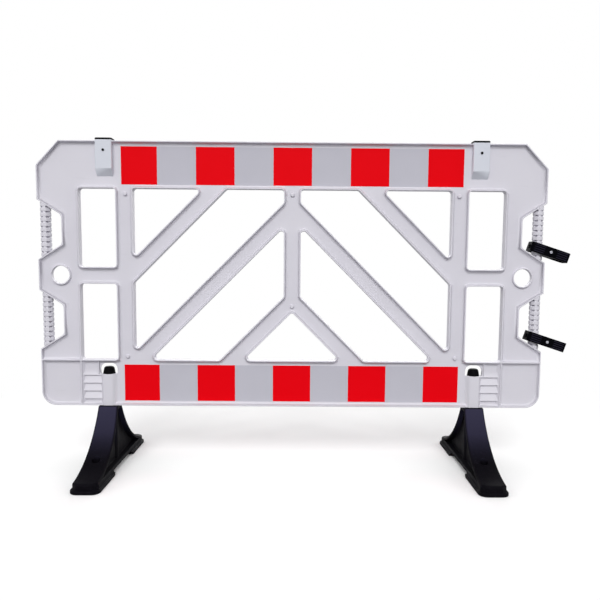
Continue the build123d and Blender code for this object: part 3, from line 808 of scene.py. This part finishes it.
# %% Coupler bolts and nuts
BOLT_HEAD = (4.5 * MM, 3.5 * MM, 1.3 * MM)
BOLT_SHANK, BOLT_SOCKET, BOLT_PITCH = 3.0 * MM, (1.9 * MM, 1.8 * MM), 1.0 * MM
BOLT_NUT_BORE = 3.1 * MM

low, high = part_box("coupler_bolt_upper")
nut_low, nut_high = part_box("coupler_nut_upper")
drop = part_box("coupler_bolt_lower")[0] - low
bolt = turned_bolt("coupler_bolt_upper_turned", (low + high) / 2, low.y, high.y, BOLT_HEAD, BOLT_SHANK,
                   BOLT_SOCKET, (nut_low.y, BOLT_PITCH))
nut = bored_nut("coupler_nut_upper_bored", nut_low, nut_high, BOLT_NUT_BORE)
fasteners = {
    "coupler_bolt_upper": bolt,
    "coupler_nut_upper": nut,
    "coupler_bolt_lower": copy_piece(bolt, "coupler_bolt_lower_turned", drop),
    "coupler_nut_lower": copy_piece(nut, "coupler_nut_lower_bored", drop),
}
for node, fastener in fasteners.items():
    settle(fastener, body_of_node[node], "bright_steel", node)
print("lower coupler bolt", round(-drop.z / MM, 1), "mm below the upper one")

# %% [markdown]
# Each bracket has a small dark screw of the same kind, with a nut behind. The right screw and nut are
# copies of the left ones. The two screws make one piece, and so do their two nuts.

# %% Bracket screws and nuts
SCREW_HEAD = (4.0 * MM, 2.5 * MM, 1.2 * MM)
SCREW_SHANK, SCREW_SOCKET, SCREW_PITCH = 2.0 * MM, (1.5 * MM, 1.2 * MM), 0.7 * MM
SCREW_NUT_BORE = 2.02 * MM

low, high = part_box("bracket_screws")
nut_low, nut_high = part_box("bracket_nuts")
nut_radius = (nut_high.z - nut_low.z) / 2
reach = (nut_high.x - nut_low.x) / 2 - nut_radius * math.cos(math.radians(30))
centre = Vector((-reach, 0, (low.z + high.z) / 2))
corner = Vector((nut_radius, 0, nut_radius))
screw = turned_bolt("screw", centre, low.y, high.y, SCREW_HEAD, SCREW_SHANK, SCREW_SOCKET,
                    (nut_low.y, SCREW_PITCH))
screw_nut = bored_nut("screw_nut", Vector((centre.x, nut_low.y, centre.z)) - corner,
                      Vector((centre.x, nut_high.y, centre.z)) + corner, SCREW_NUT_BORE)
for left_piece, node in ((screw, "bracket_screws"), (screw_nut, "bracket_nuts")):
    right_piece = copy_piece(left_piece, left_piece.name + "_right", (2 * reach, 0, 0))
    settle(join_pieces((left_piece, right_piece), node + "_turned"), "barrier", "dark_steel", node)
print("bracket screws at", round(reach / MM, 1), "mm either side")

# %% [markdown]
# Four shallow ridges cross the outer faces of each coupler's two rings, which stiffen the thin wall and
# give a grip. One is modelled as a slim bar with rounded edges. Its copies are laid along the drooping
# coupler and half sunk into its face. They take a paler finish, a painted highlight along the ridges.

# %% Coupler ridges
COUPLER_TILT = math.radians(18)
RIDGE_LENGTH, RIDGE_WIDTH, RIDGE_PROUD, RIDGE_ROUNDING = 33 * MM, 2 * MM, 0.6 * MM, 0.4 * MM
RIDGE_STEP, RIDGE_ROWS = 6.5 * MM, (-1.5, -0.5, 0.5, 1.5)
RING_OFFSET = 36.5 * MM

bpy.ops.object.select_all(action="DESELECT")
bpy.ops.mesh.primitive_cube_add(size=1, scale=(RIDGE_LENGTH, 2 * RIDGE_PROUD, RIDGE_WIDTH))
bpy.ops.object.transform_apply(location=True, rotation=True, scale=True)
ridge = bpy.context.active_object
apply_modifier(ridge, "BEVEL", width=RIDGE_ROUNDING, segments=2)
along = Vector((math.cos(COUPLER_TILT), 0, -math.sin(COUPLER_TILT)))
across = Vector((math.sin(COUPLER_TILT), 0, math.cos(COUPLER_TILT)))
for level, face in itertools.product(("upper", "lower"), ("front", "rear")):
    node = f"coupler_{level}_{face}_half"
    bolt_low, bolt_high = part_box("coupler_bolt_" + level)
    half_low, half_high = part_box(node)
    middle = (bolt_low + bolt_high) / 2
    middle.y = half_low.y if face == "front" else half_high.y
    bars = []
    for ring, row in itertools.product((-1, 1), RIDGE_ROWS):
        spot = middle + along * ring * RING_OFFSET + across * row * RIDGE_STEP
        bars.append(copy_piece(ridge, "bar", spot, COUPLER_TILT))
    ridges = join_pieces(bars, node + "_ridges")
    weigh(ridges)
    shade(ridges, angle=50)
    settle(ridges, body_of_node[node], "coupler_plastic")
    # The ridges get the paler finish, a painted highlight.
    ridges.data.materials[0] = finishes["coupler_ridge_highlight"]
bpy.data.objects.remove(ridge)
print("ridges", RIDGE_STEP / MM, "mm apart on the rings")
